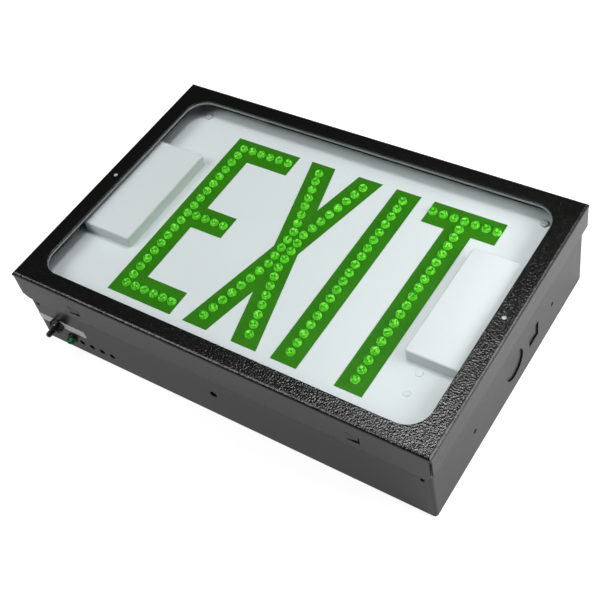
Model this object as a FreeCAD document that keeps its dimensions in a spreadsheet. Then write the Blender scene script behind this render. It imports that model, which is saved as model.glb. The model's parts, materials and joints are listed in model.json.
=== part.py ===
"""Emergency exit light: a folded steel box with a lift-off glazed cover, LED letters and a battery.

The sign lies on its back: +X runs along the word, +Y is the letters' up, +Z is the way the face looks.
The origin is the middle of the back. Lengths are in millimetres.
"""
import FreeCAD, Part
import math
import os
import re
import Sketcher

Vector = FreeCAD.Vector

SIZES = {
    # Outer form
    "face_width": 410.0,
    "face_height": 270.4,
    "face_depth": 92.0,
    # Cover: a shoebox lid of folded sheet with a window
    "cover_gauge": 1.5,
    "cover_bend": 3.0,
    "flange_depth": 25.0,
    "apron_depth": 30.5,
    "apron_clip": 8.0,
    "corner_relief": 1.7,
    "relief_stop": 3.75,
    "side_gap": 1.5,
    "stile_width": 17.7,
    "window_rail_width": 16.4,
    "window_corner": 20.0,
    "lip_gauge": 1.2,
    "lip_depth": 2.0,
    "stile_hole_inset": 10.0,
    "stile_hole_radius": 2.1,
    "tab_inset": 66.0,
    "tab_width": 12.0,
    "tab_height": 9.0,
    "tab_drop": 19.0,
    "tab_bend": 1.2,
    "tab_slit": 1.0,
    "notch_inset": 83.7,
    "notch_radius": 2.2,
    # Lens and its clips
    "lens_gauge": 2.5,
    "lens_margin": 4.0,
    "clip_width": 14.0,
    "clip_gauge": 1.0,
    "clip_foot": 5.0,
    "clip_toe": 3.0,
    "clip_clearance": 0.3,
    "clip_spread_x": 230.0,
    "clip_spread_y": 140.0,
    # Housing: the back box
    "housing_gauge": 1.5,
    "housing_bend": 3.0,
    "knockout_radius": 14.3,
    "knockout_inset": 1.2,
    "knockout_skirt": 0.6,
    "knockout_rise": 31.5,
    "knockout_place": 2.5,
    "square_knockout": 16.5,
    "square_knockout_place": 37.0,
    "canopy_span": 138.7,
    "canopy_hole_radius": 2.2,
    "corner_hole_inset": 8.2,
    "corner_hole_rise": 51.7,
    "corner_hole_radius": 2.0,
    "vent_inset": 46.7,
    "vent_pitch": 11.9,
    "vent_rise": 16.8,
    "vent_radius": 3.0,
    "drain_place": -2.5,
    "drain_rise": 34.0,
    "drain_radius": 3.5,
    "entry_place": 45.0,
    "entry_radius": 11.1,
    "box_screw_span": 88.9,
    "wall_screw_inset": 37.0,
    "mount_hole_radius": 2.6,
    # Brackets that take the two cover screws
    "bracket_drop": 7.0,
    "bracket_gauge": 1.5,
    "bracket_leg": 8.5,
    "bracket_height": 10.0,
    "bracket_width": 13.0,
    "bracket_hole_radius": 1.7,
    # Face panel on its two rails
    "panel_drop": 18.0,
    "panel_gauge": 1.2,
    "panel_clearance": 1.0,
    "rail_gauge": 1.5,
    "rail_leg": 18.0,
    "rail_height": 14.0,
    "rail_end_gap": 10.5,
    "panel_screw_inset_x": 25.5,
    "panel_screw_inset_y": 15.7,
    "panel_hole_radius": 2.3,
    "screw_radius": 2.0,
    "screw_head_radius": 3.8,
    "screw_head_height": 2.2,
    "screw_length": 8.0,
    # Blank caps over the two arrow places
    "arrow_width": 52.9,
    "arrow_height": 115.2,
    "arrow_thickness": 11.3,
    "arrow_inset": 13.6,
    "arrow_lift": 2.1,
    "arrow_wall": 2.0,
    "arrow_bevel": 1.2,
    # LEDs of the word
    "led_radius": 3.9,
    "led_height": 4.6,
    "led_pitch": 10.0,
    "stem_e_gap": 23.0,
    "centre_x_place": -8.4,
    "stem_i_place": 54.8,
    "stem_t_gap": 24.0,
    "cross_gap": 5.0,
    "cross_pitch": 2.6,
    # LED board behind the panel
    "spacer_height": 5.0,
    "spacer_radius": 3.5,
    "board_width": 300.0,
    "board_height": 206.0,
    "board_gauge": 1.6,
    "board_inset": 8.0,
    # Charger board
    "charger_inset_x": 107.0,
    "charger_place_y": -55.0,
    "charger_width": 120.0,
    "charger_height": 76.0,
    "standoff_inset": 5.0,
    "standoff_height": 8.0,
    "standoff_radius": 3.0,
    "relay_shift": -30.0,
    "relay_size": 19.0,
    "relay_height": 15.0,
    "capacitor_radius": 8.0,
    "capacitor_height": 25.0,
    "capacitor_shift": 10.0,
    "capacitor_pitch": 24.0,
    # Transformer
    "core_width": 48.0,
    "core_height": 40.0,
    "core_rise": 36.0,
    "coil_width": 30.0,
    "coil_height": 58.0,
    "coil_rise": 26.0,
    "foot_width": 68.0,
    "foot_gauge": 1.2,
    "foot_hole_radius": 2.2,
    "transformer_inset": 102.0,
    "transformer_place_y": 50.0,
    # Battery pack under its strap
    "cell_radius": 13.0,
    "cell_length": 50.0,
    "cell_gap": 0.4,
    "battery_inset": 112.0,
    "battery_place_y": -60.0,
    "strap_gauge": 1.0,
    "strap_width": 16.0,
    "strap_clearance": 0.3,
    "strap_foot": 12.0,
    # Terminal block and earth screw
    "terminal_place_x": -75.0,
    "terminal_place_y": 45.0,
    "terminal_pitch": 9.0,
    "terminal_width": 20.0,
    "terminal_height": 16.0,
    "terminal_well": 5.0,
    "earth_place_x": -110.0,
    "earth_place_y": 45.0,
    "earth_radius": 4.2,
    "earth_height": 4.0,
    # Test switch and pilot lamp in the lower wall
    "switch_inset": 24.0,
    "switch_rise": 31.5,
    "bushing_radius": 5.4,
    "bushing_reach": 8.0,
    "bushing_clearance": 0.15,
    "switch_body_width": 15.0,
    "switch_body_length": 24.0,
    "nut_flats": 13.0,
    "nut_height": 6.5,
    "button_radius": 2.7,
    "button_reach": 7.5,
    "button_clearance": 0.06,
    "button_travel": 3.0,
    "button_tail": 6.0,
    "pilot_inset": 34.8,
    "pilot_radius": 3.9,
    "pilot_reach": 6.5,
    "pilot_tail": 5.0,
    "bezel_radius": 5.5,
    "bezel_height": 1.6,
    "pilot_bevel": 1.4,
}

# Counts: LEDs along a stroke, past the stem in E's arms and tongue, beside T's stem, and in X's narrow middle
LED_ROWS = 19
ARM_LEDS = 5
TONGUE_LEDS = 4
CROSSBAR_LEDS = 3
MIDDLE_ROWS = 2
PILOT_SIDES = 16
VENT_COUNT = 4
CELL_COUNT = 3
TERMINAL_COUNT = 3

# Lengths that several pieces share, worked out from the sizes
SHARED = {
    "inset": "(cover_gauge + side_gap)",
    "rim": "(face_depth - cover_gauge)",
    "wall_x": "(face_width / 2 - inset)",
    "wall_y": "(face_height / 2 - inset)",
    "inside_x": "(wall_x - housing_gauge)",
    "inside_y": "(wall_y - housing_gauge)",
    "lens_top": "(rim - lip_depth)",
    "window_x": "(face_width / 2 - stile_width)",
    "window_y": "(face_height / 2 - window_rail_width)",
    "stile_hole_x": "(face_width / 2 - stile_hole_inset)",
    "lens_half_x": "(window_x + lens_margin)",
    "lens_half_y": "(window_y + lens_margin)",
    "panel_top": "(face_depth - panel_drop)",
    "panel_low": "(panel_top - panel_gauge)",
    "board_top": "(panel_low - spacer_height)",
    "bracket_top": "(face_depth - bracket_drop)",
    "panel_screw_x": "(inside_x - panel_screw_inset_x)",
    "panel_screw_y": "(inside_y - panel_screw_inset_y)",
    "arrow_edge": "(face_width / 2 - arrow_inset - arrow_width)",
    "arrow_x": "(arrow_edge + arrow_width / 2)",
    "stem_e_x": "(stem_e_gap - arrow_edge)",
    "stem_t_x": "(arrow_edge - stem_t_gap)",
    "bushing_hole": "(bushing_radius + bushing_clearance)",
    "battery_x": "(battery_inset - wall_x)",
    "charger_x": "(wall_x - charger_inset_x)",
    "transformer_x": "(wall_x - transformer_inset)",
    "switch_x": "(switch_inset - wall_x)",
    "pilot_x": "(pilot_inset - wall_x)",
}

doc = FreeCAD.newDocument("exit_light")
sheet = doc.addObject("Spreadsheet::Sheet", "sizes")
nodes = []


def fill_sheet():
    """Writes every driving size as a plain number with its alias."""
    for row, (alias, value) in enumerate(SIZES.items(), start=1):
        sheet.set("A%d" % row, alias)
        sheet.set("B%d" % row, str(value))
        sheet.setAlias("B%d" % row, alias)
    doc.recompute()


def spelled(expression):
    """The expression with shared lengths written out and each size read from the sheet."""
    def swap(match):
        word = match.group(0)
        if word in SHARED:
            return spelled(SHARED[word])
        return "sizes." + word if word in SIZES else word
    return re.sub(r"[a-z_]+", swap, str(expression))


def value_of(expression):
    """The present value of an expression over the sizes."""
    value = doc.getObject("sizes").evalExpression(spelled(expression))
    return float(getattr(value, "Value", value))


def bind(item, **properties):
    """Ties properties to expressions over the sizes."""
    for name, expression in properties.items():
        item.setExpression(name, spelled(expression))


def move_to(item, x, y, z):
    """Ties the place of an object to expressions."""
    for axis, expression in zip("xyz", (x, y, z)):
        item.setExpression("Placement.Base." + axis, spelled(expression))


def keep(item, label):
    """Marks an object as a finished sub-part, under the name of its node."""
    item.Label = label
    nodes.append(item)
    return item


# Sketches and PartDesign features


def new_body(label):
    return keep(doc.addObject("PartDesign::Body", "body_" + label), label)


def new_sketch(body, plane, offset="0"):
    """A sketch on one of the body's own origin planes, moved along the plane's normal."""
    sketch = body.newObject("Sketcher::SketchObject", "sketch")
    support = [item for item in body.Origin.OriginFeatures if item.Role == plane]
    sketch.AttachmentSupport = [(support[0], "")]
    sketch.MapMode = "FlatFace"
    sketch.setExpression("AttachmentOffset.Base.z", spelled(offset))
    return sketch


def constrain(sketch, kind, targets, expression):
    index = sketch.addConstraint(Sketcher.Constraint(kind, *targets, value_of(expression)))
    sketch.setExpression("Constraints[%d]" % index, spelled(expression))


def add_polygon(sketch, corners):
    """A closed outline whose corners are pairs of expressions."""
    points = [Vector(value_of(x), value_of(y), 0) for x, y in corners]
    first = sketch.GeometryCount
    count = len(points)
    for k in range(count):
        sketch.addGeometry(Part.LineSegment(points[k], points[(k + 1) % count]), False)
    for k in range(count):
        following = first + (k + 1) % count
        sketch.addConstraint(Sketcher.Constraint("Coincident", first + k, 2, following, 1))
    for k, (x, y) in enumerate(corners):
        constrain(sketch, "DistanceX", (-1, 1, first + k, 1), x)
        constrain(sketch, "DistanceY", (-1, 1, first + k, 1), y)


def add_rectangle(sketch, x, y, width, height):
    """A rectangle about its centre."""
    left, right = "%s - (%s) / 2" % (x, width), "%s + (%s) / 2" % (x, width)
    low, high = "%s - (%s) / 2" % (y, height), "%s + (%s) / 2" % (y, height)
    add_polygon(sketch, [(left, low), (right, low), (right, high), (left, high)])


def add_rounded_rectangle(sketch, half_x, half_y, radius):
    """A rectangle about the origin with tangent arcs at its corners."""
    x, y, bend = value_of(half_x), value_of(half_y), value_of(radius)
    sides = [((bend - x, -y), (x - bend, -y)), ((x, bend - y), (x, y - bend)),
             ((x - bend, y), (bend - x, y)), ((-x, y - bend), (-x, bend - y))]
    centres = [(x - bend, bend - y), (x - bend, y - bend), (bend - x, y - bend), (bend - x, bend - y)]
    for k in range(4):
        start, end = [Vector(a, b, 0) for a, b in sides[k]]
        circle = Part.Circle(Vector(centres[k][0], centres[k][1], 0), Vector(0, 0, 1), bend)
        sketch.addGeometry(Part.LineSegment(start, end), False)
        sketch.addGeometry(Part.ArcOfCircle(circle, (k - 1) * math.pi / 2, k * math.pi / 2), False)
    for k in range(4):
        line, arc, following = 2 * k, 2 * k + 1, (2 * k + 2) % 8
        sketch.addConstraint(Sketcher.Constraint("Tangent", line, 2, arc, 1))
        sketch.addConstraint(Sketcher.Constraint("Tangent", arc, 2, following, 1))
        sketch.addConstraint(Sketcher.Constraint("Vertical" if k % 2 else "Horizontal", line))
        constrain(sketch, "Radius", (arc,), radius)
    constrain(sketch, "DistanceY", (-1, 1, 0, 1), "-1 * (%s)" % half_y)
    constrain(sketch, "DistanceX", (-1, 1, 2, 1), half_x)
    constrain(sketch, "DistanceY", (-1, 1, 4, 1), half_y)
    constrain(sketch, "DistanceX", (-1, 1, 6, 1), "-1 * (%s)" % half_x)


def add_circle(sketch, x, y, radius):
    centre = Vector(value_of(x), value_of(y), 0)
    index = sketch.addGeometry(Part.Circle(centre, Vector(0, 0, 1), value_of(radius)), False)
    constrain(sketch, "DistanceX", (-1, 1, index, 3), x)
    constrain(sketch, "DistanceY", (-1, 1, index, 3), y)
    constrain(sketch, "Radius", (index,), radius)


def add_regular(sketch, x, y, corner_radius, sides):
    """A regular polygon with one corner towards +X."""
    turns = [k * 360.0 / sides for k in range(sides)]
    add_polygon(sketch, [("%s + (%s) * cos(%g)" % (x, corner_radius, turn),
                          "%s + (%s) * sin(%g)" % (y, corner_radius, turn)) for turn in turns])


def pad(body, sketch, length, backwards=False, both_ways=False):
    feature = body.newObject("PartDesign::Pad", "pad")
    feature.Profile = sketch
    feature.Reversed = backwards
    feature.Midplane = both_ways
    bind(feature, Length=length)
    doc.recompute()
    return feature


def pocket(body, sketch, length=None, backwards=False):
    """Cuts the sketch to a depth, or right through, and makes sure that something was cut."""
    before = body.Shape.Volume
    feature = body.newObject("PartDesign::Pocket", "pocket")
    feature.Profile = sketch
    feature.Reversed = backwards
    if length is None:
        feature.Type = "ThroughAll"
    else:
        bind(feature, Length=length)
    doc.recompute()
    if body.Shape.Volume > before - 1e-3:
        raise RuntimeError("a pocket of %s cuts nothing" % body.Label)
    return feature


def edges_where(shape, test):
    """Names of the edges for which the test holds for every point tried along them."""
    names = []
    for index, edge in enumerate(shape.Edges, start=1):
        points = edge.discretize(3)
        if all(test(point) for point in points):
            names.append("Edge%d" % index)
    return names


def dress(body, kind, edges, **size):
    """A fillet or chamfer on named edges of the body's last feature."""
    base = body.Tip
    feature = body.newObject("PartDesign::" + kind, kind.lower())
    feature.Base = (base, edges)
    bind(feature, **size)
    doc.recompute()
    return feature


def shell(body, open_face, gauge):
    """Hollows the body to a wall of the given gauge inside its outer form."""
    base = body.Tip
    feature = body.newObject("PartDesign::Thickness", "shell")
    feature.Base = (base, [open_face])
    feature.Reversed = True
    feature.Join = 0
    bind(feature, Value=gauge)
    doc.recompute()
    return feature


def flat_face_at(shape, axis, place):
    """Name of the largest flat face that lies wholly at one coordinate."""
    found = []
    for index, face in enumerate(shape.Faces, start=1):
        box = face.BoundBox
        low, high = getattr(box, axis + "Min"), getattr(box, axis + "Max")
        if abs(low - place) < 1e-4 and abs(high - place) < 1e-4:
            found.append((face.Area, "Face%d" % index))
    return max(found)[1]


def near(value, goal):
    return abs(value - goal) < 1e-4


# Part primitives


def new_part(kind, name, **properties):
    item = doc.addObject("Part::" + kind, name)
    bind(item, **properties)
    return item


def block(name, x, y, z, length, width, height):
    """A box centred on x and y that stands on z."""
    box = new_part("Box", name, Length=length, Width=width, Height=height)
    move_to(box, "%s - (%s) / 2" % (x, length), "%s - (%s) / 2" % (y, width), z)
    return box


def post(name, x, y, z, radius, height):
    """A cylinder along Z that stands on z."""
    cylinder = new_part("Cylinder", name, Radius=radius, Height=height)
    move_to(cylinder, x, y, z)
    return cylinder


def hex_post(name, x, y, z, radius, height):
    """A hexagonal spacer that stands on z; its radius is to the corners."""
    prism = new_part("Prism", name, Circumradius=radius, Height=height)
    prism.Polygon = 6
    move_to(prism, x, y, z)
    return prism


def joined(kind, name, shapes):
    """A fusion or a compound of several objects."""
    item = doc.addObject("Part::" + kind, name)
    if kind == "Compound":
        item.Links = shapes
    else:
        item.Shapes = shapes
    return item


def cut(name, base, tool):
    item = doc.addObject("Part::Cut", name)
    item.Base = base
    item.Tool = tool
    return item


# Housing


def make_housing():
    """The back box: one folded sheet, open to the front, with knockouts and holes."""
    body = new_body("housing")
    outline = new_sketch(body, "XY_Plane")
    add_rectangle(outline, "0", "0", "2 * wall_x", "2 * wall_y")
    pad(body, outline, "rim")
    dress(body, "Fillet", edges_where(body.Shape, lambda p: near(p.z, 0))
          + edges_where(body.Shape, lambda p: near(abs(p.x), value_of("wall_x"))
                        and near(abs(p.y), value_of("wall_y"))), Radius="housing_bend")
    inside = new_sketch(body, "XY_Plane", "rim")
    add_rectangle(inside, "0", "0", "2 * inside_x", "2 * inside_y")
    pocket(body, inside, "rim - housing_gauge")
    cut_lower_wall(body)
    cut_back(body)
    press_knockout(body, "right")
    press_knockout(body, "left")
    press_square_knockout(body)


def cut_lower_wall(body):
    """Holes of the switch, pilot lamp, vents, drain and corner screws in the -Y wall."""
    holes = new_sketch(body, "XZ_Plane")
    add_circle(holes, "switch_x", "switch_rise", "bushing_hole")
    add_circle(holes, "pilot_x", "vent_rise", "pilot_radius + bushing_clearance")
    add_circle(holes, "drain_place", "drain_rise", "drain_radius")
    for side in ("-", ""):
        add_circle(holes, side + "1 * (wall_x - corner_hole_inset)", "corner_hole_rise", "corner_hole_radius")
    for k in range(VENT_COUNT):
        add_circle(holes, "vent_inset - wall_x + %d * vent_pitch" % k, "vent_rise", "vent_radius")
    pocket(body, holes, backwards=True)


def cut_back(body):
    """Wire entry, outlet box screws and wall screws in the back."""
    holes = new_sketch(body, "XY_Plane")
    add_circle(holes, "0", "entry_place", "entry_radius")
    for side in ("-", ""):
        add_circle(holes, side + "box_screw_span / 2", "entry_place", "mount_hole_radius")
        for level in ("-", ""):
            add_circle(holes, side + "1 * (wall_x - wall_screw_inset)",
                       level + "1 * (wall_y - wall_screw_inset)", "mount_hole_radius")
    pocket(body, holes, "2 * housing_gauge", backwards=True)


def press_knockout(body, end):
    """A round slug sheared part way into an end wall, between two canopy screw holes.

    The slug stays tied to the wall by the sheet that is left, and stands proud on the inside.
    """
    right = end == "right"
    sign = "" if right else "-1 * "
    slug = new_sketch(body, "YZ_Plane", sign + "inside_x")
    add_circle(slug, "knockout_place", "knockout_rise", "knockout_radius + knockout_skirt")
    pad(body, slug, "knockout_inset", backwards=right)
    recess = new_sketch(body, "YZ_Plane", sign + "wall_x")
    add_circle(recess, "knockout_place", "knockout_rise", "knockout_radius")
    pocket(body, recess, "knockout_inset", backwards=not right)
    screws = new_sketch(body, "YZ_Plane")
    for side in ("-", "+"):
        add_circle(screws, "knockout_place %s canopy_span / 2" % side, "knockout_rise", "canopy_hole_radius")
    pocket(body, screws, backwards=right)


def press_square_knockout(body):
    """The square slug beside the round one in the right wall."""
    slug = new_sketch(body, "YZ_Plane", "inside_x")
    add_rectangle(slug, "square_knockout_place", "knockout_rise",
                  "square_knockout + 2 * knockout_skirt", "square_knockout + 2 * knockout_skirt")
    pad(body, slug, "knockout_inset", backwards=True)
    recess = new_sketch(body, "YZ_Plane", "wall_x")
    add_rectangle(recess, "square_knockout_place", "knockout_rise", "square_knockout", "square_knockout")
    pocket(body, recess, "knockout_inset")


# Cover


def make_door_frame():
    """The cover: a shoebox lid with a deep lower apron, open corners and a lipped window."""
    body = new_body("door_frame")
    outline = new_sketch(body, "XY_Plane", "face_depth - apron_depth")
    add_rectangle(outline, "0", "0", "face_width", "face_height")
    pad(body, outline, "apron_depth")
    top = value_of("face_depth")
    dress(body, "Fillet", edges_where(body.Shape, lambda p: near(p.z, top)), Radius="cover_bend")
    low = value_of("face_depth - apron_depth")
    shell(body, flat_face_at(body.Shape, "Z", low), "cover_gauge")
    trim_flanges(body)
    cut_window(body)
    lance_tabs(body)


def trim_flanges(body):
    """Shortens three flanges, clips the apron's ends and opens the four corners."""
    short = new_sketch(body, "XY_Plane", "face_depth - apron_depth")
    add_rectangle(short, "0", "cover_gauge", "2 * face_width", "face_height")
    pocket(body, short, "apron_depth - flange_depth", backwards=True)
    clips = new_sketch(body, "XZ_Plane")
    low = "face_depth - apron_depth"
    for side in ("-", ""):
        edge, start = side + "face_width / 2", side + "1 * (face_width / 2 - apron_clip)"
        add_polygon(clips, [(start, low), (edge, low), (edge, "face_depth - flange_depth")])
    pocket(body, clips, backwards=True)
    corners = new_sketch(body, "XY_Plane", low)
    for side in ("-", ""):
        for level in ("-", ""):
            add_rectangle(corners, side + "face_width / 2", level + "face_height / 2",
                          "2 * corner_relief", "2 * corner_relief")
    pocket(body, corners, "apron_depth - relief_stop", backwards=True)


def cut_window(body):
    """The window with its rounded corners and the lip turned in behind its edge, and the two screw holes."""
    lip = new_sketch(body, "XY_Plane", "rim")
    add_rounded_rectangle(lip, "window_x + lip_gauge", "window_y + lip_gauge",
                          "window_corner + lip_gauge")
    pad(body, lip, "lip_depth", backwards=True)
    window = new_sketch(body, "XY_Plane", "face_depth")
    add_rounded_rectangle(window, "window_x", "window_y", "window_corner")
    pocket(body, window, "cover_gauge + lip_depth")
    screws = new_sketch(body, "XY_Plane", "face_depth")
    for side in ("-", ""):
        add_circle(screws, side + "1 * stile_hole_x", "0", "stile_hole_radius")
    pocket(body, screws, "2 * cover_gauge")


def lance_tabs(body):
    """Two spring tongues lanced in the apron, each bent inwards from its left end, and two edge notches."""
    inner = "-1 * (face_height / 2 - cover_gauge)"
    for side in ("-", ""):
        middle = side + "1 * (face_width / 2 - tab_inset)"
        slot = new_sketch(body, "XZ_Plane")
        add_rectangle(slot, middle, "face_depth - tab_drop", "tab_width", "tab_height")
        pocket(body, slot, backwards=True)
        tongue = new_sketch(body, "XY_Plane", "face_depth - tab_drop - tab_height / 2 + tab_slit")
        root = middle + " - tab_width / 2"
        tip = middle + " + tab_width / 2 - 2 * tab_slit"
        add_polygon(tongue, [(root, "-1 * face_height / 2"), (root, inner),
                             (tip, inner + " + tab_bend"), (tip, "-1 * face_height / 2 + tab_bend")])
        pad(body, tongue, "tab_height - 2 * tab_slit")
    notches = new_sketch(body, "XZ_Plane")
    for side in ("-", ""):
        add_circle(notches, side + "1 * (face_width / 2 - notch_inset)", "face_depth - apron_depth",
                   "notch_radius")
    pocket(body, notches, backwards=True)


def make_lens():
    """The clear sheet behind the window's lip."""
    body = new_body("lens")
    outline = new_sketch(body, "XY_Plane", "lens_top")
    add_rectangle(outline, "0", "0", "2 * lens_half_x", "2 * lens_half_y")
    pad(body, outline, "lens_gauge", backwards=True)


def make_lens_clips():
    """Z-shaped clips, spot welded behind the face, whose toes hold the lens against the lip."""
    low = "lens_top - lens_gauge"
    clips = []
    for k, (x, y, turn) in enumerate(clip_places()):
        profile = doc.addObject("PartDesign::Body", "clip_%d" % k)
        sketch = new_sketch(profile, "XZ_Plane")
        inner, outer = "clip_clearance", "clip_clearance + clip_gauge"
        foot = "clip_clearance + clip_foot"
        add_polygon(sketch, [("-1 * clip_toe", low), ("-1 * clip_toe", low + " - clip_gauge"),
                             (outer, low + " - clip_gauge"), (outer, "rim - clip_gauge"),
                             (foot, "rim - clip_gauge"), (foot, "rim"), (inner, "rim"), (inner, low)])
        pad(profile, sketch, "clip_width", both_ways=True)
        profile.Placement = FreeCAD.Placement(Vector(), FreeCAD.Rotation(Vector(0, 0, 1), turn))
        move_to(profile, x, y, "0")
        clips.append(profile)
    keep(joined("Compound", "lens_clips", clips), "lens_clips")


def clip_places():
    """Each clip's place on the lens's edge, with the turn that points its foot outwards."""
    places = []
    for side in ("-", ""):
        places.append(("lens_half_x", side + "clip_spread_y / 2", 0))
        places.append((side + "clip_spread_x / 2", "lens_half_y", 90))
        places.append(("-1 * lens_half_x", side + "clip_spread_y / 2", 180))
        places.append((side + "clip_spread_x / 2", "-1 * lens_half_y", 270))
    return places


def make_cover_brackets():
    """Angle brackets on the side walls, tapped for the cover screws."""
    for label, side in (("cover_bracket_left", "-1 * "), ("cover_bracket_right", "1 * ")):
        body = new_body(label)
        sketch = new_sketch(body, "XZ_Plane")
        wall = side + "inside_x"
        inner = side + "(inside_x - bracket_gauge)"
        tip = side + "(inside_x - bracket_leg)"
        low = "bracket_top - bracket_height"
        add_polygon(sketch, [(wall, low), (wall, "bracket_top"), (tip, "bracket_top"),
                             (tip, "bracket_top - bracket_gauge"), (inner, "bracket_top - bracket_gauge"),
                             (inner, low)])
        pad(body, sketch, "bracket_width", both_ways=True)
        hole = new_sketch(body, "XY_Plane", "bracket_top")
        add_circle(hole, side + "1 * stile_hole_x", "0", "bracket_hole_radius")
        pocket(body, hole, "2 * bracket_gauge")


# Face panel and what is on it


def make_face_panel():
    """The white plate with its two screw holes."""
    body = new_body("face_panel")
    outline = new_sketch(body, "XY_Plane", "panel_low")
    add_rectangle(outline, "0", "0", "2 * (inside_x - panel_clearance)", "2 * (inside_y - panel_clearance)")
    pad(body, outline, "panel_gauge")
    holes = new_sketch(body, "XY_Plane", "panel_top")
    for side in ("-", ""):
        add_circle(holes, side + "1 * panel_screw_x", "panel_screw_y", "panel_hole_radius")
    pocket(body, holes, "2 * panel_gauge")


def make_panel_rails():
    """Two angles on the upper and lower walls that carry the panel."""
    for label, side in (("panel_rail_lower", "-1 * "), ("panel_rail_upper", "1 * ")):
        body = new_body(label)
        sketch = new_sketch(body, "YZ_Plane")
        wall = side + "inside_y"
        inner = side + "(inside_y - rail_gauge)"
        tip = side + "(inside_y - rail_leg)"
        low = "panel_low - rail_height"
        add_polygon(sketch, [(wall, low), (wall, "panel_low"), (tip, "panel_low"),
                             (tip, "panel_low - rail_gauge"), (inner, "panel_low - rail_gauge"),
                             (inner, low)])
        pad(body, sketch, "2 * (inside_x - rail_end_gap)", both_ways=True)
        if label == "panel_rail_upper":
            holes = new_sketch(body, "XY_Plane", "panel_low")
            for end in ("-", ""):
                add_circle(holes, end + "1 * panel_screw_x", "panel_screw_y",
                           "screw_radius + bushing_clearance")
            pocket(body, holes, "2 * rail_gauge")


def make_panel_screws():
    """Pan-head screws through the panel's two upper corners."""
    screws = []
    for k, side in enumerate(("-", "")):
        place = side + "1 * panel_screw_x"
        head = post("screw_head_%d" % k, place, "panel_screw_y", "panel_top",
                    "screw_head_radius", "screw_head_height")
        shank = post("screw_shank_%d" % k, place, "panel_screw_y", "panel_top - screw_length",
                     "screw_radius", "screw_length")
        screws.append(joined("MultiFuse", "screw_%d" % k, [head, shank]))
    keep(joined("Compound", "panel_screws", screws), "panel_screws")


def make_arrow_covers():
    """The two blank caps over the arrow places, moulded hollow with bevelled edges."""
    for label, side in (("arrow_cover_left", "-1 * "), ("arrow_cover_right", "1 * ")):
        body = new_body(label)
        outline = new_sketch(body, "XY_Plane", "panel_top")
        add_rectangle(outline, side + "arrow_x", "arrow_lift",
                      "arrow_width", "arrow_height")
        pad(body, outline, "arrow_thickness")
        shell(body, flat_face_at(body.Shape, "Z", value_of("panel_top")), "arrow_wall")
        high = value_of("panel_top + arrow_thickness")
        middle = value_of(side + "arrow_x")
        half_x, half_y = value_of("arrow_width / 2"), value_of("arrow_height / 2")
        lift = value_of("arrow_lift")
        outer = edges_where(body.Shape, lambda p: near(p.z, high) or (near(abs(p.x - middle), half_x)
                                                                     and near(abs(p.y - lift), half_y)))
        dress(body, "Chamfer", outer, Size="arrow_bevel")


def led_places():
    """The LEDs of each letter, as pairs of expressions."""
    rows = range(-(LED_ROWS // 2), LED_ROWS // 2 + 1)
    places = {"e": [], "x": [], "i": [], "t": []}
    for k in rows:
        places["e"].append(("stem_e_x", k))
        places["i"].append(("stem_i_place", k))
        places["t"].append(("stem_t_x", k))
        step = max(abs(k) - MIDDLE_ROWS, 0)
        for side in ("-", "+"):
            places["x"].append(("centre_x_place %s (cross_gap + %d * cross_pitch)" % (side, step), k))
    for k, arm in ((rows[-1], ARM_LEDS), (0, TONGUE_LEDS), (rows[0], ARM_LEDS)):
        for n in range(1, arm + 1):
            places["e"].append(("stem_e_x + %d * led_pitch" % n, k))
    for n in range(1, CROSSBAR_LEDS + 1):
        places["t"].append(("stem_t_x - %d * led_pitch" % n, rows[-1]))
        places["t"].append(("stem_t_x + %d * led_pitch" % n, rows[-1]))
    return places


def make_leds():
    """One node for each letter's LEDs: six-sided lamps that share one form and stand on the panel."""
    lamp = hex_post("lamp", "0", "0", "0", "led_radius", "led_height")
    for letter, places in led_places().items():
        lamps = []
        for k, (x, row) in enumerate(places):
            link = doc.addObject("App::Link", "led_%s_%d" % (letter, k))
            link.LinkedObject = lamp
            move_to(link, x, "%d * led_pitch" % row, "panel_top")
            lamps.append(link)
        keep(joined("Compound", "leds_" + letter, lamps), "leds_" + letter)


def make_led_board():
    """The LED board behind the panel, and the spacers that it hangs from."""
    board = block("board", "0", "0", "board_top - board_gauge", "board_width", "board_height", "board_gauge")
    keep(board, "led_board")
    spacers = []
    for side in ("-1", "0", "1"):
        for level in ("-1", "1"):
            spacers.append(hex_post("spacer", side + " * (board_width / 2 - board_inset)",
                                level + " * (board_height / 2 - board_inset)", "board_top",
                                "spacer_radius", "spacer_height"))
    keep(joined("Compound", "board_spacers", spacers), "board_spacers")


# What lies on the floor of the housing


def make_charger():
    """The charging and transfer board on its standoffs, with its relay, capacitors and rectifier."""
    x, y, floor = "charger_x", "charger_place_y", "housing_gauge"
    keep(block("charger_board", x, y, floor + " + standoff_height", "charger_width", "charger_height",
               "board_gauge"), "charger_board")
    standoffs = []
    for side in ("-", "+"):
        for level in ("-", "+"):
            standoffs.append(hex_post("standoff", "%s %s (charger_width / 2 - standoff_inset)" % (x, side),
                                  "%s %s (charger_height / 2 - standoff_inset)" % (y, level), floor,
                                  "standoff_radius", "standoff_height"))
    keep(joined("Compound", "charger_standoffs", standoffs), "charger_standoffs")
    top = floor + " + standoff_height + board_gauge"
    parts = [block("relay", x + " + relay_shift", y, top, "relay_size", "relay_size", "relay_height")]
    for k in (0, 1):
        parts.append(post("capacitor", x + " + capacitor_shift + %d * capacitor_pitch" % k, y, top,
                          "capacitor_radius", "capacitor_height"))
    keep(joined("Compound", "charger_parts", parts), "charger_parts")


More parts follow.
